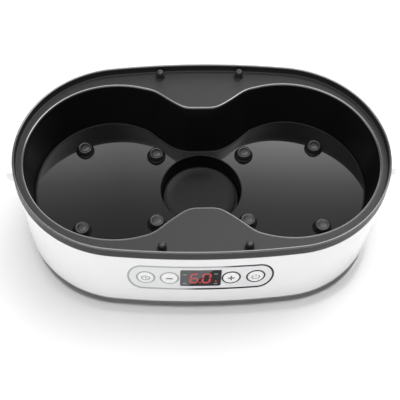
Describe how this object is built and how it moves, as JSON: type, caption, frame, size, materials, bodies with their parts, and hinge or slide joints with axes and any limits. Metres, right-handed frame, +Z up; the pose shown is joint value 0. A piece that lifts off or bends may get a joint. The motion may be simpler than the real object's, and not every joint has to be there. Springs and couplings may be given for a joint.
{
  "type": "foot spa basin",
  "caption": "Oval heated water basin: a dark two-well tub with a central heater recess and soft support pads, set in a white shell with a front key panel and display.",
  "frame": {"origin": "middle of the bounding box's bottom face, on the surface the feet stand on", "axes": "+X along the length to the right, -Y towards the user and the key panel, +Z up"},
  "size_m": [0.409, 0.238, 0.119],
  "materials": {
    "tub_black": "glossy near-black with a faint mould grain",
    "shell_white": "high-gloss white",
    "button_white": "satin-gloss white",
    "panel_grey": "satin light grey",
    "chrome": "bright plated",
    "window_black": "polished smoked lens",
    "pad_rubber": "soft matt dark silicone",
    "foot_rubber": "matt dark rubber",
    "heater_coated": "fine-grained dark coating",
    "seal_silicone": "red silicone",
    "steel": "plain sheet and turned steel",
    "element_aluminium": "as cast",
    "board_green": "solder-masked board",
    "under_plastic": "fine-textured dark plastic",
    "fuse_blue": "blue wrapped or moulded",
    "tape_yellow": "yellow tape",
    "brass": "turned"
  },
  "bodies": {
    "basin": {"base_plate": "under_plastic", "base_screw_back_left": "steel", "base_screw_back_right": "steel", "base_screw_front_left": "steel", "base_screw_front_right": "steel", "capacitor": "under_plastic", "control_board": "board_green", "display_module": "under_plastic", "display_window": "window_black", "foot_back_left": "foot_rubber", "foot_back_right": "foot_rubber", "foot_front_left": "foot_rubber", "foot_front_right": "foot_rubber", "grip_left": "shell_white", "grip_right": "shell_white", "heater_clamp": "steel", "heater_element": "element_aluminium", "heater_nut": "steel", "heater_plate": "heater_coated", "heater_seal": "seal_silicone", "inlet_pin_left": "brass", "inlet_pin_right": "brass", "pad_left_inner_back": "pad_rubber", "pad_left_inner_front": "pad_rubber", "pad_left_outer_back": "pad_rubber", "pad_left_outer_front": "pad_rubber", "pad_right_inner_back": "pad_rubber", "pad_right_inner_front": "pad_rubber", "pad_right_outer_back": "pad_rubber", "pad_right_outer_front": "pad_rubber", "panel_plate": "panel_grey", "panel_trim": "chrome", "power_board": "board_green", "power_inlet": "under_plastic", "relay": "fuse_blue", "rim_gasket": "seal_silicone", "ring_minus": "chrome", "ring_plus": "chrome", "ring_power": "chrome", "ring_timer": "chrome", "shell": "shell_white", "stud_back_left": "pad_rubber", "stud_back_right": "pad_rubber", "stud_front_left": "pad_rubber", "stud_front_right": "pad_rubber", "switch_minus": "under_plastic", "switch_plus": "under_plastic", "switch_power": "under_plastic", "switch_timer": "under_plastic", "temperature_sensor": "element_aluminium", "thermal_fuse": "fuse_blue", "transformer": "tape_yellow", "tub": "tub_black"},
    "timer_key": {"button_timer": "button_white"},
    "minus_key": {"button_minus": "button_white"},
    "plus_key": {"button_plus": "button_white"},
    "power_key": {"button_power": "button_white"}
  },
  "joints": [
    {"name": "timer_press", "type": "slide", "parent": "basin", "child": "timer_key", "axis": [0, 1, 0], "range_m": [0, 0.0008], "stiffness_N_per_m": 600, "springref_m": -0.0005},
    {"name": "minus_press", "type": "slide", "parent": "basin", "child": "minus_key", "axis": [0, 1, 0], "range_m": [0, 0.0008], "stiffness_N_per_m": 600, "springref_m": -0.0005},
    {"name": "plus_press", "type": "slide", "parent": "basin", "child": "plus_key", "axis": [0, 1, 0], "range_m": [0, 0.0008], "stiffness_N_per_m": 600, "springref_m": -0.0005},
    {"name": "power_press", "type": "slide", "parent": "basin", "child": "power_key", "axis": [0, 1, 0], "range_m": [0, 0.0008], "stiffness_N_per_m": 600, "springref_m": -0.0005}
  ]
}
